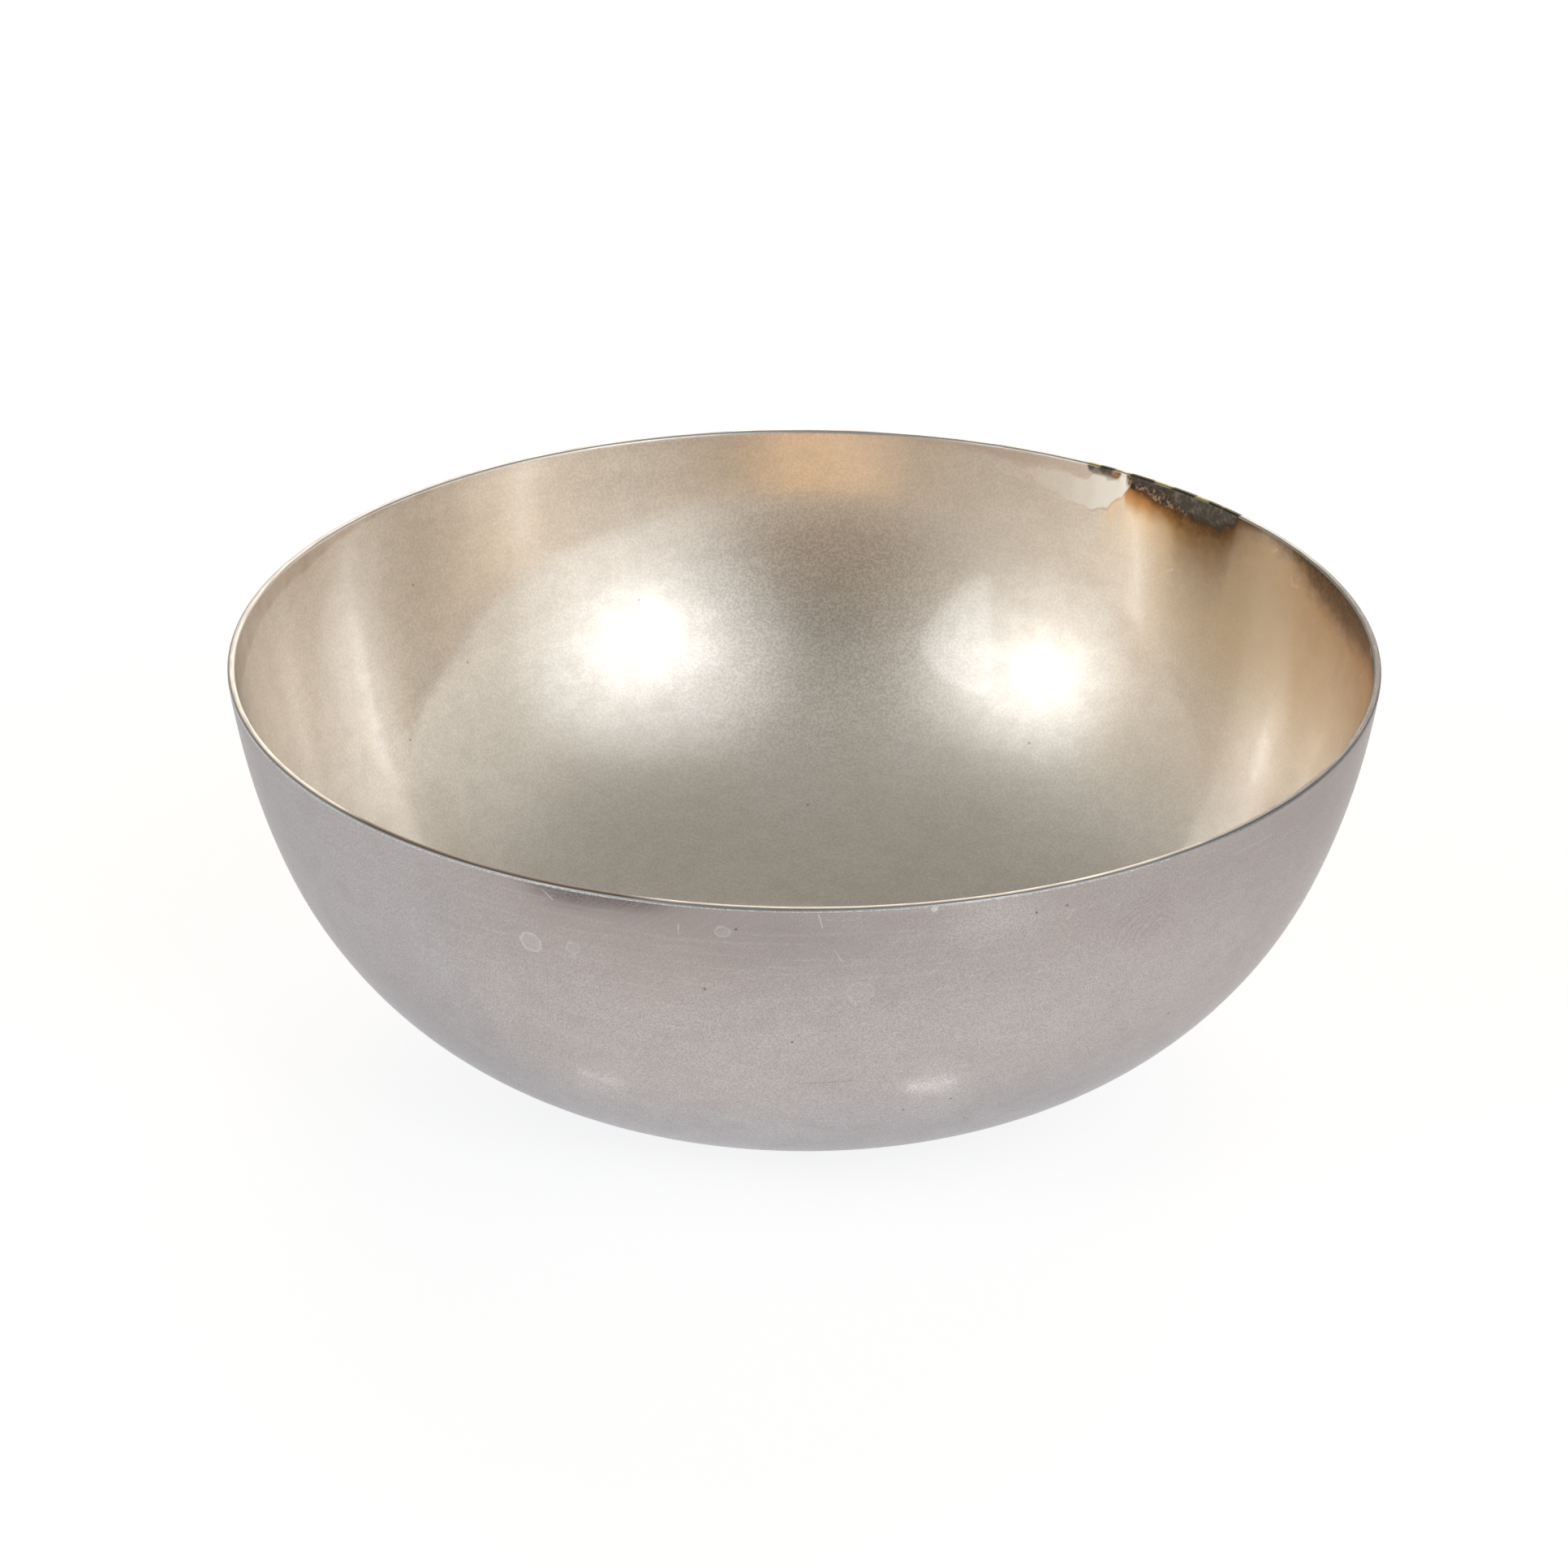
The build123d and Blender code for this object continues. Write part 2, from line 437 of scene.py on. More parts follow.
class Recipe:
    """A node tree in the making. A method adds nodes and returns the socket that carries the result."""

    def __init__(self, tree):
        self.tree = tree
        tree.nodes.clear()
        self.place = self.add("ShaderNodeTexCoord").outputs["Object"]

    def add(self, kind, inputs=(), **settings):
        """A new node with its settings, and its inputs fed by name or number."""
        node = self.tree.nodes.new(kind)
        for key, value in settings.items():
            setattr(node, key, value)
        for key, value in dict(inputs).items():
            self.feed(node.inputs[key], value)
        return node

    def feed(self, socket, value):
        """Links a socket to another one, or sets it to a plain value."""
        if isinstance(value, bpy.types.NodeSocket):
            self.tree.links.new(value, socket)
        else:
            socket.default_value = value

    def math(self, operation, a, b=0.0):
        return self.add("ShaderNodeMath", {0: a, 1: b}, operation=operation).outputs[0]

    def plus(self, a, b):
        return self.math("ADD", a, b)

    def times(self, a, b):
        return self.math("MULTIPLY", a, b)

    def most(self, a, b):
        return self.math("MAXIMUM", a, b)

    def least(self, a, b):
        return self.math("MINIMUM", a, b)

    def rise(self, value, low, high, start=0.0, end=1.0):
        """Goes smoothly from start to end as value goes from low to high."""
        inputs = {"Value": value, "From Min": low, "From Max": high, "To Min": start, "To Max": end}
        return self.add("ShaderNodeMapRange", inputs, interpolation_type="SMOOTHSTEP").outputs["Result"]

    def mix(self, share, a, b):
        """Colour a, giving way to colour b by the share."""
        node = self.add("ShaderNodeMix", data_type="RGBA")
        for socket, value in zip((node.inputs[0], node.inputs[6], node.inputs[7]), (share, a, b)):
            self.feed(socket, value)
        return node.outputs[2]

    def measure(self, name):
        """One of the measures kept on the mesh."""
        return self.add("ShaderNodeAttribute", attribute_name=name).outputs["Fac"]

    def vector(self, operation, a, b):
        """Arithmetic on vectors. SCALE takes a number as b, and two operations give a number back."""
        second = 3 if operation == "SCALE" else 1
        node = self.add("ShaderNodeVectorMath", {0: a, second: b}, operation=operation)
        return node.outputs["Value" if operation in ("DISTANCE", "DOT_PRODUCT") else 0]

    def noise(self, size, detail=2.0, rough=0.5, twist=0.0, at=None):
        """Cloudy values about 0.5 whose blobs are about `size` across, in the units of `at`."""
        inputs = {"Vector": self.place if at is None else at, "Scale": 1 / size}
        inputs |= {"Detail": detail, "Roughness": rough, "Distortion": twist}
        return self.add("ShaderNodeTexNoise", inputs).outputs[0]

    def spun(self, long, fine):
        """Places for streaks round the bowl: a blob of noise is `long` mm round it and `fine` mm across."""
        level = self.vector("MULTIPLY", self.place, (1, 1, 0))
        round_it = self.add("ShaderNodeVectorMath", {0: level}, operation="NORMALIZE").outputs[0]
        scaled = self.vector("SCALE", round_it, RIM_RADIUS / MM / long)
        fall = self.times(self.measure("fall"), 1 / fine)
        down = self.add("ShaderNodeCombineXYZ", {"Z": fall}).outputs[0]
        return self.vector("ADD", scaled, down)

    def slanted(self, angle, long, fine):
        """Places for straight hairlines that lean by `angle` from level, as seen from the front."""
        lean = math.radians(angle)
        inputs = {"Vector": self.place, "Rotation": (0, lean, 0)}
        turned = self.add("ShaderNodeMapping", inputs).outputs[0]
        return self.vector("MULTIPLY", turned, (1 / long / MM, 1 / long / MM, 1 / fine / MM))

    def bump(self, height, distance, under=None):
        """Tilts the shading normal as if the surface rose by height times distance, in metres."""
        inputs = {"Height": height, "Distance": distance}
        if under is not None:
            inputs["Normal"] = under
        return self.add("ShaderNodeBump", inputs).outputs[0]

    def far_from(self, *points):
        """Distance from the nearest of some points, in millimetres."""
        far = self.vector("DISTANCE", self.place, tuple(points[0]))
        for point in points[1:]:
            far = self.least(far, self.vector("DISTANCE", self.place, tuple(point)))
        return self.times(far, 1 / MM)

    def far_from_lines(self, *lines):
        """Distance from the nearest of some straight lines, each between two points, in millimetres.

        The nearest point of a line is the share t of the way along, where t is how far the place
        reaches along the line, kept between 0 and 1."""
        far = None
        for start, end in lines:
            way = np.subtract(end, start)
            from_start = self.vector("SUBTRACT", self.place, tuple(start))
            reach = self.vector("DOT_PRODUCT", from_start, tuple(way / (way @ way)))
            share = self.add("ShaderNodeClamp", {"Value": reach}).outputs[0]
            away = self.vector("DISTANCE", from_start, self.vector("SCALE", tuple(way), share))
            far = away if far is None else self.least(far, away)
        return self.times(far, 1 / MM)

    def specks(self, cell, size, share):
        """1 in round specks of `size`, at most one in each `cell`, in that share of the cells."""
        node = self.add("ShaderNodeTexVoronoi", {"Vector": self.place, "Scale": 1 / cell})
        chosen = self.add("ShaderNodeSeparateColor", {"Color": node.outputs["Color"]}).outputs[0]
        small = self.rise(node.outputs["Distance"], 0.3 * size / cell, 0.5 * size / cell, 1.0, 0.0)
        return self.times(small, self.math("LESS_THAN", chosen, share))

    def finish(self, **sockets):
        """Ends the recipe with one shader. A socket's name has _ where the shader's has a space."""
        shader = self.add("ShaderNodeBsdfPrincipled", {k.replace("_", " "): v for k, v in sockets.items()})
        self.add("ShaderNodeOutputMaterial", {"Surface": shader.outputs[0]})


def material(name):
    """A new material with an empty recipe."""
    made = bpy.data.materials.new(name)
    made.use_nodes = True
    return made, Recipe(made.node_tree)


def on_wall(turn_degrees, fall_mm, line):
    """The point of the outer or inner face at a turn and a fall."""
    start = 0 if line is outside else len(section) - len(inside)
    rows = slice(start, start + len(line))
    order = np.argsort(fall[rows])
    r = np.interp(fall_mm, fall[rows][order], line[order, 0])
    z = np.interp(fall_mm, fall[rows][order], line[order, 1])
    a = math.radians(turn_degrees)
    return np.array([r * math.cos(a), r * math.sin(a), z])


print("front of the rim, mm:", (on_wall(-90, 0.3, outside) / MM).round(2))

# %% [markdown]
# ## The inside: champagne silver, and its burn
#
# The inner face is silver with a matt, finely pitted skin and a warm film. Its high spots are worn
# bright, which is why a lamp's reflection has a sharp heart in a wide haze. One roughness can't give
# both, so dull metal carries a thin sharp coat. The films lie over each other in the order in which
# heat and hands left them: gold, tan, orange, brown, the dark film along the rim, the wiped patch,
# and the crust, which is no metal at all.

# %% The inside finish
SHARP, SHARP_IOR, DULL = 0.10, 2.6, 0.40
GRAINY_PLACE = (2 * MM, 40 * MM, 18 * MM)
SOOT_DOT = (52.6, 1.1)
INNER_SCRATCHES = (((25.9, 2.95), (27.0, 3.1)), ((27.0, 3.1), (27.5, 2.6)), ((1.2, 0.62), (3.0, 0.55)),
                   ((45.9, 6.8), (46.6, 7.1)), ((4.1, 3.4), (4.6, 3.8)), ((30.8, 1.2), (31.4, 1.5)))
INNER_PITS = ((89.2, 32.1), (109.3, 13.5), (58.6, 24.1), (137.7, 7.5), (132.8, 15.2), (145.5, 19.0))


def inside_finish():
    made, r = material("champagne_silver")
    grain = r.noise(0.20 * MM, 1.0, 0.6)
    grain_share = r.rise(r.far_from(GRAINY_PLACE), 5, 16, 0.56, 0.3)
    mottle = r.noise(1.8 * MM, 4.0, 0.6)
    wipes = r.noise(1.0, 4.0, 0.6, at=r.slanted(4, 2.4, 0.7))
    cloud = r.noise(11 * MM, 3.0)
    ragged = r.noise(0.8 * MM, 4.0, 0.65)
    flecks = r.noise(0.32 * MM, 3.0, 0.65)
    lace = r.noise(0.45 * MM, 4.0, 0.75, 1.2)
    frayed = r.times(r.plus(ragged, -0.5), 0.9)

    colour = r.mix(r.rise(cloud, 0.35, 0.65), paint(242, 235, 227), paint(237, 229, 219))
    colour = r.mix(r.rise(mottle, 0.42, 0.68, 0, 0.22), colour, paint(212, 204, 194))
    colour = r.mix(r.rise(wipes, 0.42, 0.66, 0, 0.22), colour, paint(214, 206, 196))
    colour = r.mix(r.times(r.rise(grain, 0.34, 0.66), grain_share), colour, paint(178, 169, 159))
    colour = r.mix(r.times(r.measure("gold"), 0.9), colour, paint(226, 190, 138))
    tan = r.times(r.measure("tan"), r.rise(mottle, 0.3, 0.65, 0.5, 0.8))
    colour = r.mix(tan, colour, paint(208, 154, 98))
    smoke = r.times(r.measure("smoke"), r.rise(mottle, 0.3, 0.7, 0.6, 0.85))
    colour = r.mix(smoke, colour, paint(134, 111, 90))
    heat = r.times(r.measure("orange"), r.rise(mottle, 0.25, 0.6, 0.92, 1.0))
    colour = r.mix(r.times(heat, 0.95), colour, paint(255, 206, 124))
    colour = r.mix(r.rise(heat, 0.6, 1.0, 0, 0.72), colour, paint(210, 130, 62))
    brown = r.times(r.measure("brown"), r.rise(ragged, 0.3, 0.65, 0.8, 1.0))
    colour = r.mix(brown, colour, paint(92, 58, 40))
    film = r.rise(r.plus(r.measure("film"), r.times(frayed, 1.8)), -1.3, 1.5)
    film_colour = r.mix(r.rise(r.measure("fall"), 0.4, 1.2), paint(86, 72, 57), paint(114, 88, 72))
    colour = r.mix(r.times(film, r.rise(flecks, 0.35, 0.7, 0.95, 0.75)), colour, film_colour)
    rosy = r.rise(r.plus(r.measure("rosy"), frayed), -0.3, 0.5, 0.0, 0.55)
    colour = r.mix(rosy, colour, paint(204, 178, 158))
    left = r.times(r.rise(r.measure("left"), -0.25, 0.2), r.rise(mottle, 0.3, 0.7, 0.35, 0.65))
    colour = r.mix(left, colour, paint(190, 170, 152))
    wiped = r.rise(r.plus(r.measure("wiped"), r.times(frayed, 0.5)), -0.12, 0.16)
    lower_edge = r.times(r.rise(r.measure("wiped"), -0.3, 0.0), r.rise(r.measure("white"), 0.5, 1.0))
    colour = r.mix(r.times(lower_edge, 0.5), colour, paint(164, 118, 84))
    wiped = r.times(wiped, r.rise(r.plus(r.measure("white"), r.times(frayed, 0.5)), 0.0, 1.0, 0.1, 1.0))
    colour = r.mix(wiped, colour, paint(255, 248, 238))

    ash = r.rise(r.plus(r.measure("ash"), frayed), -0.25, 0.3)
    soot = r.rise(r.plus(r.measure("soot"), frayed), -0.45, 0.4)
    dot = r.rise(r.far_from(on_wall(*SOOT_DOT, inside)), 0.2, 0.36, 1.0, 0.0)
    ash_colour = r.mix(r.rise(lace, 0.44, 0.6), paint(74, 65, 56), paint(206, 168, 140))
    soot_colour = r.mix(r.rise(ragged, 0.42, 0.7), paint(88, 82, 73), paint(144, 132, 117))
    soot_colour = r.mix(r.rise(r.measure("soot"), 0.0, 0.5, 0.8, 0.0), soot_colour, paint(44, 37, 31))
    colour = r.mix(ash, colour, ash_colour)
    soot = r.most(soot, dot)
    colour = r.mix(soot, colour, soot_colour)
    crust = r.most(ash, soot)

    scratch = r.far_from_lines(*((on_wall(*a, inside), on_wall(*b, inside)) for a, b in INNER_SCRATCHES))
    colour = r.mix(r.rise(scratch, 0.07, 0.18, 0.55, 0.0), colour, paint(234, 214, 188))
    pit = r.rise(r.far_from(*(on_wall(*p, inside) for p in INNER_PITS)), 0.07, 0.16, 0.6, 0.0)
    pit = r.most(pit, r.times(r.specks(5 * MM, 0.16 * MM, 0.25), 0.4))
    colour = r.mix(pit, colour, paint(120, 108, 96))

    rough = r.most(r.rise(mottle, 0.3, 0.7, DULL - 0.02, DULL + 0.04), r.times(crust, 0.8))
    bare = r.times(r.rise(crust, 0, 1, 1, 0.1), r.rise(wiped, 0, 1, 1, 0.75))
    stained = r.most(r.most(r.times(tan, 0.8), r.times(r.measure("gold"), 0.4)), r.times(smoke, 0.8))
    stained = r.most(r.most(stained, r.rise(heat, 0.45, 1.0, 0.0, 0.9)), film)
    stained = r.times(stained, r.rise(wiped, 0, 1, 1, 0))
    coat = r.rise(r.most(r.most(crust, r.times(brown, 1.7)), stained), 0, 1, 1.0, 0.0)
    normal = r.bump(grain, 0.0004 * MM)
    normal = r.bump(r.times(flecks, crust), 0.05 * MM, normal)
    r.finish(Base_Color=colour, Metallic=bare, Roughness=rough, Normal=normal, Coat_Weight=coat,
             Coat_Roughness=SHARP, Coat_IOR=SHARP_IOR, Coat_Normal=normal)
    return made


# %% [markdown]
# ## The cut edge
#
# The edge was cut and rubbed flat on a stone: a pale line on its inner side, greyer towards the
# outer corner, with fine scratches along it. Along the outer corner itself runs a dotted pale line,
# which is a painted highlight. The right side is a darker grey, one stretch at the front left is
# dark, and at the burn the edge is black with pale worn dashes. A wire laid on the rim would show a
# line too, but this edge is the sheet itself, so it is a strip of the same mesh, and the measure
# across it tells its inner line from its outer corner.

# %% The finish of the cut edge


def rim_finish():
    made, r = material("cut_edge")
    across = r.measure("across")
    lines = r.noise(1.0, 3.0, 0.6, at=r.spun(3.0, 0.05))
    dashes = r.noise(1.0, 1.0, at=r.spun(2.2, 2.0))
    speckle = r.noise(0.12 * MM, 2.0, 0.6)
    colour = r.mix(r.rise(lines, 0.35, 0.65), paint(202, 206, 211), paint(182, 185, 190))
    colour = r.mix(r.rise(across, -0.2, 0.05, 0.75, 0.0), colour, paint(160, 158, 160))
    # A dotted pale line along the outer corner: a painted highlight.
    painted_corner_highlight = r.times(r.rise(across, -0.36, -0.28, 1, 0), r.rise(speckle, 0.4, 0.6))
    colour = r.mix(painted_corner_highlight, colour, paint(216, 214, 212))
    grey = r.mix(r.rise(speckle, 0.35, 0.65), paint(82, 85, 93), paint(112, 115, 121))
    colour = r.mix(r.times(r.measure("grey_edge"), r.rise(across, 0.16, 0.28, 1, 0.5)), colour, grey)
    dark = r.times(r.measure("dark_edge"), r.rise(across, -0.24, -0.12))
    colour = r.mix(dark, colour, paint(104, 96, 94))
    burnt = r.rise(r.most(r.measure("soot"), r.measure("ash")), -0.2, 0.4)
    worn = r.mix(r.rise(dashes, 0.5, 0.58), paint(66, 66, 58), paint(160, 155, 128))
    colour = r.mix(burnt, colour, worn)
    rough = r.rise(lines, 0.3, 0.7, 0.28, 0.5)
    r.finish(Base_Color=colour, Metallic=1.0, Roughness=rough, Normal=r.bump(lines, 0.0012 * MM))
    return made


# %% [markdown]
# ## The outside: mauve-grey silver, dried drops and painted reflections
#
# The outer face has dulled to a mauve grey. It is painted darker near the rim and paler and bluer
# low down: partly tarnish, and partly a painted reflection of darker surroundings near the rim and
# of the white table lower down. Over that lie the faint rings that the spinning tool left, clouds of
# polish, dried drops, scratches and pits. The broad tones come from the fall below the rim, from
# painted patches of reflected light and shade, and from a cool painted reflection on the left.
# Each mark that the eye would miss has a place of its own, written as a turn and a fall.

# %% The outside finish
DROPS = ((-117.6, 6.0, 0.85, 0.5), (-113.0, 5.7, 0.55, 0.28), (-97.8, 2.4, 0.5, 0.28),
         (-84.5, 8.0, 1.0, 0.18))
PALE_LINES = (((-88.7, 0.6), (-88.3, 1.8)), ((-87.2, 3.8), (-86.4, 4.9)), ((-63.2, 2.3), (-64.0, 3.4)),
              ((-102.0, 2.0), (-102.1, 3.0)), ((-115.6, 0.8), (-114.6, 1.5)))
DARK_LINES = (((-90.6, 18.2), (-84.3, 17.9)), ((-87.3, 16.0), (-86.7, 17.6)),
              ((-105.4, 16.0), (-105.0, 16.8)), ((-83.3, 22.4), (-82.0, 22.9)),
              ((-102.0, 3.3), (-102.0, 3.8)))
PITS = ((-91.2, 13.2), (-72.9, 21.9), (-78.3, 22.9), (-69.6, 26.2), (-69.0, 26.6), (-67.4, 2.2),
        (-64.2, 2.1), (-46.2, 17.6), (-96.5, 2.1), (-99.8, 8.0))
WORN_SPOT = (-77.7, 0.6)
SMUDGE, SMUDGE_HEART, RIDGE = (-55.0, 5.2), (-52.0, 8.2), 0.47
EDGE_TINT = (0.74, 0.73, 0.74, 1)


def outside_finish():
    made, r = material("mauve_silver")
    down = r.measure("fall")
    room_tone_painted = r.measure("painted_reflection_sum")
    cloud = r.noise(13 * MM, 3.0)
    mottle = r.noise(2.4 * MM, 4.0, 0.6)
    grain = r.noise(0.12 * MM, 1.0, 0.6)
    rings = r.noise(1.0, 3.0, 0.6, at=r.spun(8.0, 0.35))
    hair = r.noise(1.0, 2.0, 0.6, at=r.slanted(38, 3.0, 0.09))

    # Painted reflection, partly tarnish: darker mauve near the rim, then paler and bluer lower down, where
    # the metal shows the white table.
    colour = r.mix(r.rise(down, 0.5, 14), paint(169, 157, 152), paint(202, 192, 187))
    colour = r.mix(r.rise(down, 15, 30), colour, paint(204, 203, 206))
    # A painted reflection: a cool, bluish tone of the room on the left side, near the outline.
    colour = r.mix(r.times(r.measure("painted_cool_share"), 0.8), colour, paint(188, 189, 194))
    colour = r.mix(r.rise(cloud, 0.35, 0.68, 0, 0.35), colour, paint(190, 185, 185))
    colour = r.mix(r.rise(mottle, 0.4, 0.7, 0, 0.25), colour, paint(172, 163, 161))
    # Painted reflections of the surroundings: the patches lighten the metal or darken it, darkest at the
    # front left of the rim.
    colour = r.mix(r.rise(room_tone_painted, 0.0, 1.0, 0, 0.5), colour, paint(214, 208, 204))
    colour = r.mix(r.rise(room_tone_painted, -1.8, 0.0, 0.95, 0), colour, paint(104, 95, 95))
    colour = r.mix(r.rise(rings, 0.48, 0.72, 0, 0.14), colour, paint(222, 217, 214))
    colour = r.mix(r.rise(hair, 0.56, 0.72, 0, 0.14), colour, paint(226, 221, 219))
    colour = r.mix(r.rise(grain, 0.3, 0.7, 0, 0.6), colour, paint(152, 144, 142))

    wobble = r.times(r.plus(r.noise(0.7 * MM, 2.0), -0.5), 0.5)
    for at_turn, at_fall, size, light in DROPS:
        far = r.plus(r.far_from(on_wall(at_turn, at_fall, outside)), wobble)
        ring = r.times(r.rise(far, size - 0.25, size), r.rise(far, size, size + 0.12, 1, 0))
        dried = r.most(ring, r.rise(far, size - 0.1, size + 0.1, 0.35, 0.0))
        colour = r.mix(r.times(dried, light), colour, paint(216, 211, 208))
    pale = r.far_from_lines(*((on_wall(*a, outside), on_wall(*b, outside)) for a, b in PALE_LINES))
    dark = r.far_from_lines(*((on_wall(*a, outside), on_wall(*b, outside)) for a, b in DARK_LINES))
    pale = r.times(r.rise(pale, 0.02, 0.08, 0.4, 0.0), r.rise(mottle, 0.35, 0.6, 0.2, 1))
    dark = r.times(r.rise(dark, 0.02, 0.07, 0.3, 0.0), r.rise(mottle, 0.35, 0.6, 0.2, 1))
    pit = r.rise(r.far_from(*(on_wall(*p, outside) for p in PITS)), 0.06, 0.15, 0.75, 0.0)
    pit = r.most(pit, r.times(r.specks(6 * MM, 0.18 * MM, 0.3), 0.45))
    worn_spot = r.rise(r.far_from(on_wall(*WORN_SPOT, outside)), 0.15, 0.36, 0.5, 0.0)
    colour = r.mix(r.most(pale, worn_spot), colour, paint(230, 226, 223))
    colour = r.mix(r.most(dark, pit), colour, paint(96, 86, 82))

    ridges = r.far_from(on_wall(*SMUDGE_HEART, outside))
    ridges = r.plus(ridges, r.times(r.noise(3 * MM, 1.0), 2.5))
    ridges = r.math("SINE", r.times(ridges, 2 * math.pi / RIDGE))
    smudge = r.rise(r.far_from(on_wall(*SMUDGE, outside)), 1.6, 3.4, 0.14, 0.0)
    colour = r.mix(r.times(smudge, r.rise(ridges, -0.6, 0.6)), colour, paint(120, 110, 108))

    dots = r.plus(r.noise(0.02 * MM, 0.0), r.times(r.plus(grain, -0.5), 0.3))
    rough = r.plus(r.rise(dots, 0.36, 0.52, 0.14, 0.40), r.rise(cloud, 0.3, 0.7, 0.0, 0.06))
    normal = r.bump(rings, 0.001 * MM)
    r.finish(Base_Color=colour, Metallic=1.0, Roughness=rough, Normal=normal, Specular_Tint=EDGE_TINT)
    return made


for make in (inside_finish, rim_finish, outside_finish):
    bowl_mesh.materials.append(make())
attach(bowl, "root")
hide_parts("bowl")
print("finishes:", [(m.name, len(m.node_tree.nodes)) for m in bowl_mesh.materials])

# %% [markdown]
# ## The floor
#
# The bowl stands on plain white. More light would make the floor white, but it would bleach the bowl
# too. So the floor glows by itself, only for rays from the camera and from shiny or clear surfaces,
# and its matt part takes the light of the lamps and keeps the bowl's soft shadow.

# %% The floor
FLOOR_REACH = 3.0
FLOOR_GLOW, FLOOR_GREY = 0.74, 0.45
FLOOR_COLOUR = (0.98, 0.99, 1, 1)
floor_mesh = bpy.data.meshes.new("floor")
corners = [(-FLOOR_REACH, -FLOOR_REACH, 0), (FLOOR_REACH, -FLOOR_REACH, 0),
           (FLOOR_REACH, FLOOR_REACH, 0), (-FLOOR_REACH, FLOOR_REACH, 0)]
floor_mesh.from_pydata(corners, [], [(0, 1, 2, 3)])
floor = bpy.data.objects.new("floor", floor_mesh)
bpy.context.scene.collection.objects.link(floor)


def floor_finish():
    made, r = material("white_floor")
    path = r.add("ShaderNodeLightPath").outputs
    seen = r.most(r.most(path["Is Camera Ray"], path["Is Glossy Ray"]), path["Is Transmission Ray"])
    strength = r.times(seen, FLOOR_GLOW)
    glow = r.add("ShaderNodeEmission", {"Color": FLOOR_COLOUR, "Strength": strength})
    matt = r.add("ShaderNodeBsdfDiffuse", {"Color": (FLOOR_GREY, FLOOR_GREY, FLOOR_GREY, 1)})
    both = r.add("ShaderNodeAddShader", {0: glow.outputs[0], 1: matt.outputs[0]})
    r.add("ShaderNodeOutputMaterial", {"Surface": both.outputs[0]})
    return made


floor_mesh.materials.append(floor_finish())
print("floor, m:", 2 * FLOOR_REACH, "square, its glow:", FLOOR_GLOW)

# %% [markdown]
# ## The lamps
#
# Shiny metal shows its lamps, so their outlines matter more than their power. Inside the bowl are two
# bright ovals and, beside one, a half round screen with a straight edge. Area lamps make the ovals.
# No lamp has the screen's outline, so it is a glowing mesh, and it is clear too, because the room
# behind it still has to light the bowl. Low on the outside are two short glints, which a lamp throws
# on the table beside the bowl: two small strips of light lie there.

# %% The lamps
MIDDLE = Vector((0, 0, HEIGHT / 2))
BOX_DISTANCE = 1.0
GLINT_HEIGHT = 0.2 * MM
LAMP_COLOUR = (0.965, 0.99, 1.0)


def towards(azimuth, elevation):
    """A unit vector from the bowl: azimuth 0 is towards the camera, positive to its right."""
    a, e = math.radians(azimuth), math.radians(elevation)
    return Vector((math.sin(a) * math.cos(e), -math.cos(a) * math.cos(e), math.sin(e)))


def soft_box(name, azimuth, elevation, half_width, half_height, brightness):
    """An oval lamp that faces the bowl, `brightness` times white.

    Half its width and height are the angles that they fill, in degrees. Its power is brightness
    times pi times area, and an oval's area is pi / 4 of its box."""
    lamp = bpy.data.lights.new(name, "AREA")
    lamp.shape = "ELLIPSE"
    lamp.size = 2 * BOX_DISTANCE * math.tan(math.radians(half_width))
    lamp.size_y = 2 * BOX_DISTANCE * math.tan(math.radians(half_height))
    lamp.energy = brightness * math.pi * math.pi * lamp.size * lamp.size_y / 4
    lamp.color = LAMP_COLOUR
    body = bpy.data.objects.new(name, lamp)
    way = towards(azimuth, elevation)
    body.location = MIDDLE + BOX_DISTANCE * way
    body.rotation_euler = way.to_track_quat("Z", "Y").to_euler()
    body.visible_camera = False
    bpy.context.scene.collection.objects.link(body)
    return body


def half_box(name, azimuth, elevation, half_angle, roll, brightness, steps=32):
    """Half of a round screen: a fan from the middle of its straight edge to a half circle.

    A point of the half circle is the middle plus the reach times (cos t across + sin t upward).
    With no roll the edge is upright and the half circle lies towards larger azimuths."""
    a, e, tilt = math.radians(azimuth), math.radians(elevation), math.radians(roll)
    across = np.array([math.cos(a), math.sin(a), 0])
    upward = np.array([-math.sin(a) * math.sin(e), math.cos(a) * math.sin(e), math.cos(e)])
    reach = BOX_DISTANCE * math.tan(math.radians(half_angle))
    t = np.linspace(-math.pi / 2, math.pi / 2, steps + 1)[:, None] + tilt
    middle = np.array(MIDDLE + BOX_DISTANCE * towards(azimuth, elevation))
    points = np.concatenate([middle[None], middle + reach * (np.cos(t) * across + np.sin(t) * upward)])
    k = np.arange(1, len(points) - 1)
    mesh = mesh_of(name, points, (np.stack([np.zeros_like(k), k, k + 1], 1),))
    made, r = material(name)
    glow = r.add("ShaderNodeEmission", {"Color": (*LAMP_COLOUR, 1), "Strength": brightness})
    clear = r.add("ShaderNodeBsdfTransparent", {"Color": (1, 1, 1, 1)})
    both = r.add("ShaderNodeAddShader", {0: glow.outputs[0], 1: clear.outputs[0]})
    r.add("ShaderNodeOutputMaterial", {"Surface": both.outputs[0]})
    mesh.materials.append(made)
    body = bpy.data.objects.new(name, mesh)
    bpy.context.scene.collection.objects.link(body)
    return body


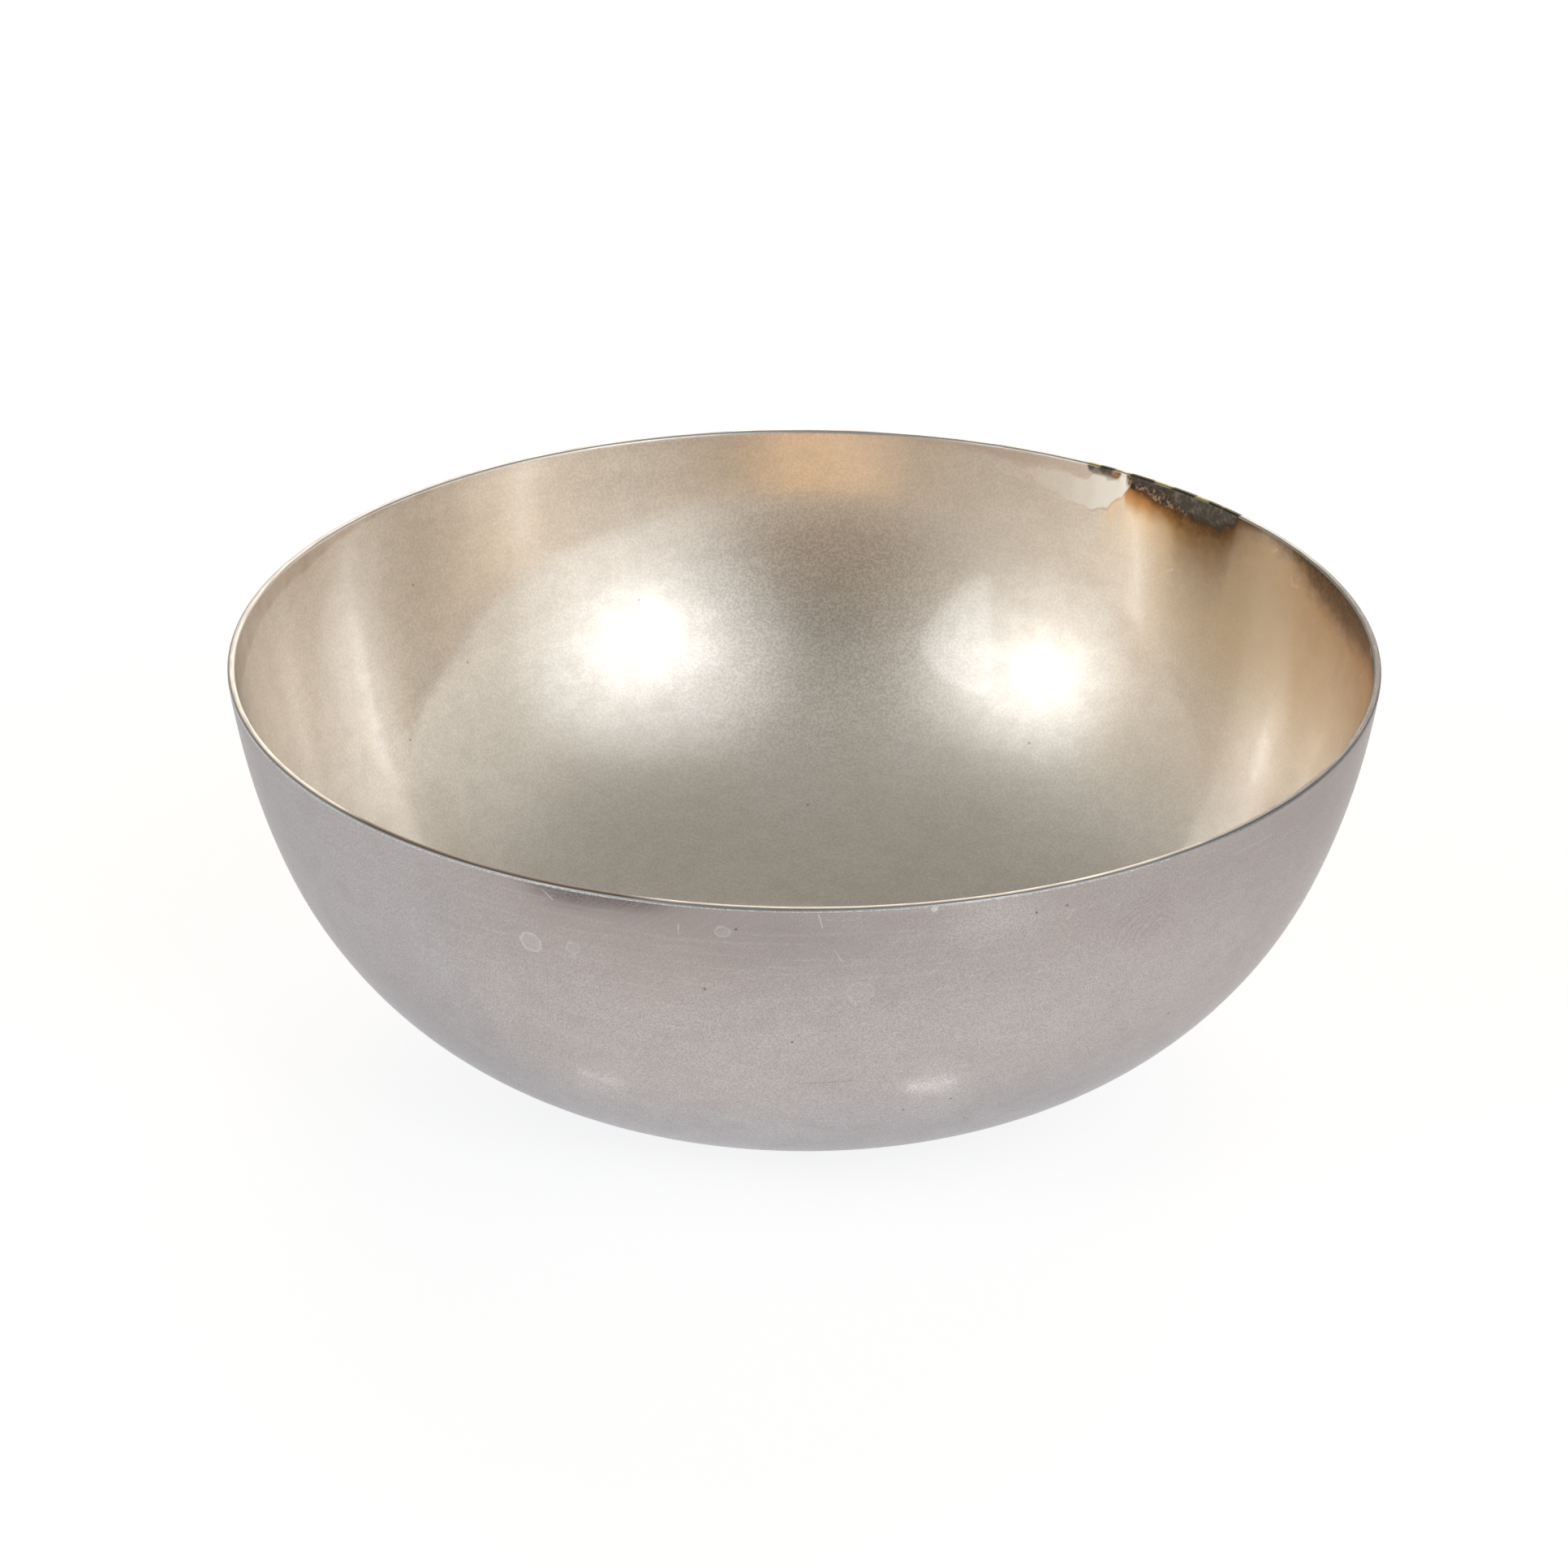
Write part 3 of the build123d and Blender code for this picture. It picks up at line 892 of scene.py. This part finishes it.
def table_glint(name, x, y, long, wide, turned, brightness):
    """A small strip of light that lies on the table and faces up: a glint that a lamp throws there.

    x, y, its length and its width are in millimetres, and it is turned by degrees about Z."""
    lamp = bpy.data.lights.new(name, "AREA")
    lamp.shape = "RECTANGLE"
    lamp.size, lamp.size_y = long * MM, wide * MM
    lamp.energy = brightness * math.pi * lamp.size * lamp.size_y
    lamp.color = LAMP_COLOUR
    body = bpy.data.objects.new(name, lamp)
    body.location = (x * MM, y * MM, GLINT_HEIGHT)
    body.rotation_euler = (math.pi, 0, math.radians(turned))
    body.visible_camera = False
    bpy.context.scene.collection.objects.link(body)
    return body


table_glint("right_glint", x=13, y=-37, long=5.5, wide=0.8, turned=16, brightness=3.0)
table_glint("left_glint", x=-20, y=-32, long=5.0, wide=1.0, turned=-26, brightness=1.3)
soft_box("right_lamp", azimuth=35.2, elevation=27.2, half_width=2.4, half_height=7.8, brightness=5.0)
soft_box("left_lamp", azimuth=-60, elevation=28.3, half_width=2.8, half_height=3.4, brightness=4.0)
half_box("left_screen", azimuth=-45.5, elevation=27, half_angle=14.5, roll=19, brightness=0.75)

# %% [markdown]
# ## The room
#
# The rest of what the metal shows is the room: brightest low on the right, dim behind the camera and
# overhead, white where the table ends, with a warm card behind the bowl and a haze round each lamp.
# A picture of a studio could light the scene, but a few levels that blend by direction are easier to
# read and to change, and they have no edges that the metal would show.

# %% The room
ROOM_COLOUR = (1.0, 0.96, 0.865, 1)
CARD_COLOUR = (1.0, 0.81, 0.62, 1)
BANDS = ((0.03, 0.22), (0.25, 0.5), (0.6, 0.85))
TABLE_EDGE = 0.04


def room_light(levels, high, horizon, gap, glows, card):
    """Light by direction, for the world.

    `levels` has three rows, for directions just above the table, low and halfway up. A row has one
    level to the front, back, right and left. A side's share is the square of the direction's cosine
    towards it, so the four shares add up to 1. A row gives way to the next one over the heights in
    BANDS. `high` is the level overhead and `horizon` that of the table's far edge. A glow is a
    direction, the angles between which it fades, and a level. `gap` is a glow that is taken away,
    behind the camera, and `card` one with a warm colour."""
    world = bpy.data.worlds.new("room")
    bpy.context.scene.world = world
    world.use_nodes = True
    r = Recipe(world.node_tree)
    way = r.add("ShaderNodeTexCoord").outputs["Generated"]
    x, y, z = r.add("ShaderNodeSeparateXYZ", {"Vector": way}).outputs

    def glow(azimuth, elevation, inner, outer, amount):
        near = r.vector("DOT_PRODUCT", way, towards(azimuth, elevation))
        return r.rise(near, math.cos(math.radians(outer)), math.cos(math.radians(inner)), 0.0, amount)

    level = r.math("SQRT", r.plus(r.times(x, x), r.times(y, y)))
    front = r.math("DIVIDE", r.times(y, -1), level)
    right = r.math("DIVIDE", x, level)
    ways = [r.times(part, sign) for part in (front, right) for sign in (1, -1)]
    sides = [r.math("POWER", r.most(part, 0.0), 2.0) for part in ways]
    climb = [r.rise(z, low, top) for low, top in BANDS]
    below = [1.0, *climb]
    walls = r.times(climb[-1], high)
    for under, over, row in zip(below, climb, levels):
        band = r.math("SUBTRACT", under, over)
        for side, amount in zip(sides, row):
            walls = r.plus(walls, r.times(r.times(band, side), amount))
    walls = r.most(r.math("SUBTRACT", walls, glow(*gap)), 0.0)
    edge = r.rise(z, 0.0, TABLE_EDGE, 1.0, 0.0)
    above = r.plus(1.0, r.times(edge, -1))
    lit = r.times(edge, horizon)
    for each in glows:
        lit = r.plus(lit, r.times(glow(*each), above))
    pale = r.add("ShaderNodeBackground", {"Color": ROOM_COLOUR, "Strength": r.times(walls, above)})
    white = r.add("ShaderNodeBackground", {"Color": (*LAMP_COLOUR, 1), "Strength": lit})
    warm = r.add("ShaderNodeBackground", {"Color": CARD_COLOUR, "Strength": r.times(glow(*card), above)})
    both = r.add("ShaderNodeAddShader", {0: pale.outputs[0], 1: white.outputs[0]})
    all_three = r.add("ShaderNodeAddShader", {0: both.outputs[0], 1: warm.outputs[0]})
    r.add("ShaderNodeOutputWorld", {"Surface": all_three.outputs[0]})


LEVELS = ((0.67, 0.64, 1.75, 0.48), (0.22, 0.61, 0.95, 0.71), (0.2, 0.0, 0.67, 0.55))
GAP = (0, 13, 2, 28)
CARD = (172, 25, 8, 32)
RIGHT_GLOWS = ((36, 24, 0, 9), (38.4, 31.5, 0, 9), (37, 28, 2, 19), (38, 32, 6, 36))
LEFT_GLOWS = ((-59.5, 28.3, 0, 9), (-59, 28.5, 2, 18), (-57, 31, 6, 28), (-54, 38, 4, 46))
RIGHT_LEVELS = (0.5, 0.1, 0.75, 0.75)
LEFT_LEVELS = (1.0, 0.6, 0.75, 0.05)
room_light(LEVELS, high=0.34, horizon=0.66, gap=(*GAP, 0.1), card=(*CARD, 2.5),
           glows=[(*g, a) for g, a in zip(RIGHT_GLOWS + LEFT_GLOWS, RIGHT_LEVELS + LEFT_LEVELS)])
print("glows in the room:", len(RIGHT_GLOWS) + len(LEFT_GLOWS))

# %% [markdown]
# ## Camera
#
# The view is the photograph's own, worked out from the ellipse of the rim and the outline below it:
# about 25 degrees above the table, from 0.7 m, with a long lens. A camera could be aimed by a
# constraint that tracks the bowl, but its three axes are written out here, because the view has a
# slight roll, which plain tracking would level out.

# %% The camera
ELEVATION = math.radians(25.432)
DISTANCE = 701.7 * MM
AIM = Vector((-1.55, 0, 21.87)) * MM
ROLL = math.radians(0.19)
LENS = 205.0

ahead = Vector((0, math.cos(ELEVATION), -math.sin(ELEVATION)))
right = Vector((1, 0, 0))
up = right.cross(ahead)
rolled_right = math.cos(ROLL) * right + math.sin(ROLL) * up
rolled_up = math.cos(ROLL) * up - math.sin(ROLL) * right
lens = bpy.data.cameras.new("camera")
lens.lens = LENS
camera = bpy.data.objects.new("camera", lens)
axes = Matrix((rolled_right, rolled_up, -ahead)).transposed()
camera.matrix_world = Matrix.Translation(AIM - DISTANCE * ahead) @ axes.to_4x4()
bpy.context.scene.collection.objects.link(camera)
bpy.context.scene.camera = camera
bpy.context.scene.view_settings.view_transform = "Standard"
print("camera, mm:", [round(c / MM, 1) for c in camera.matrix_world.translation])
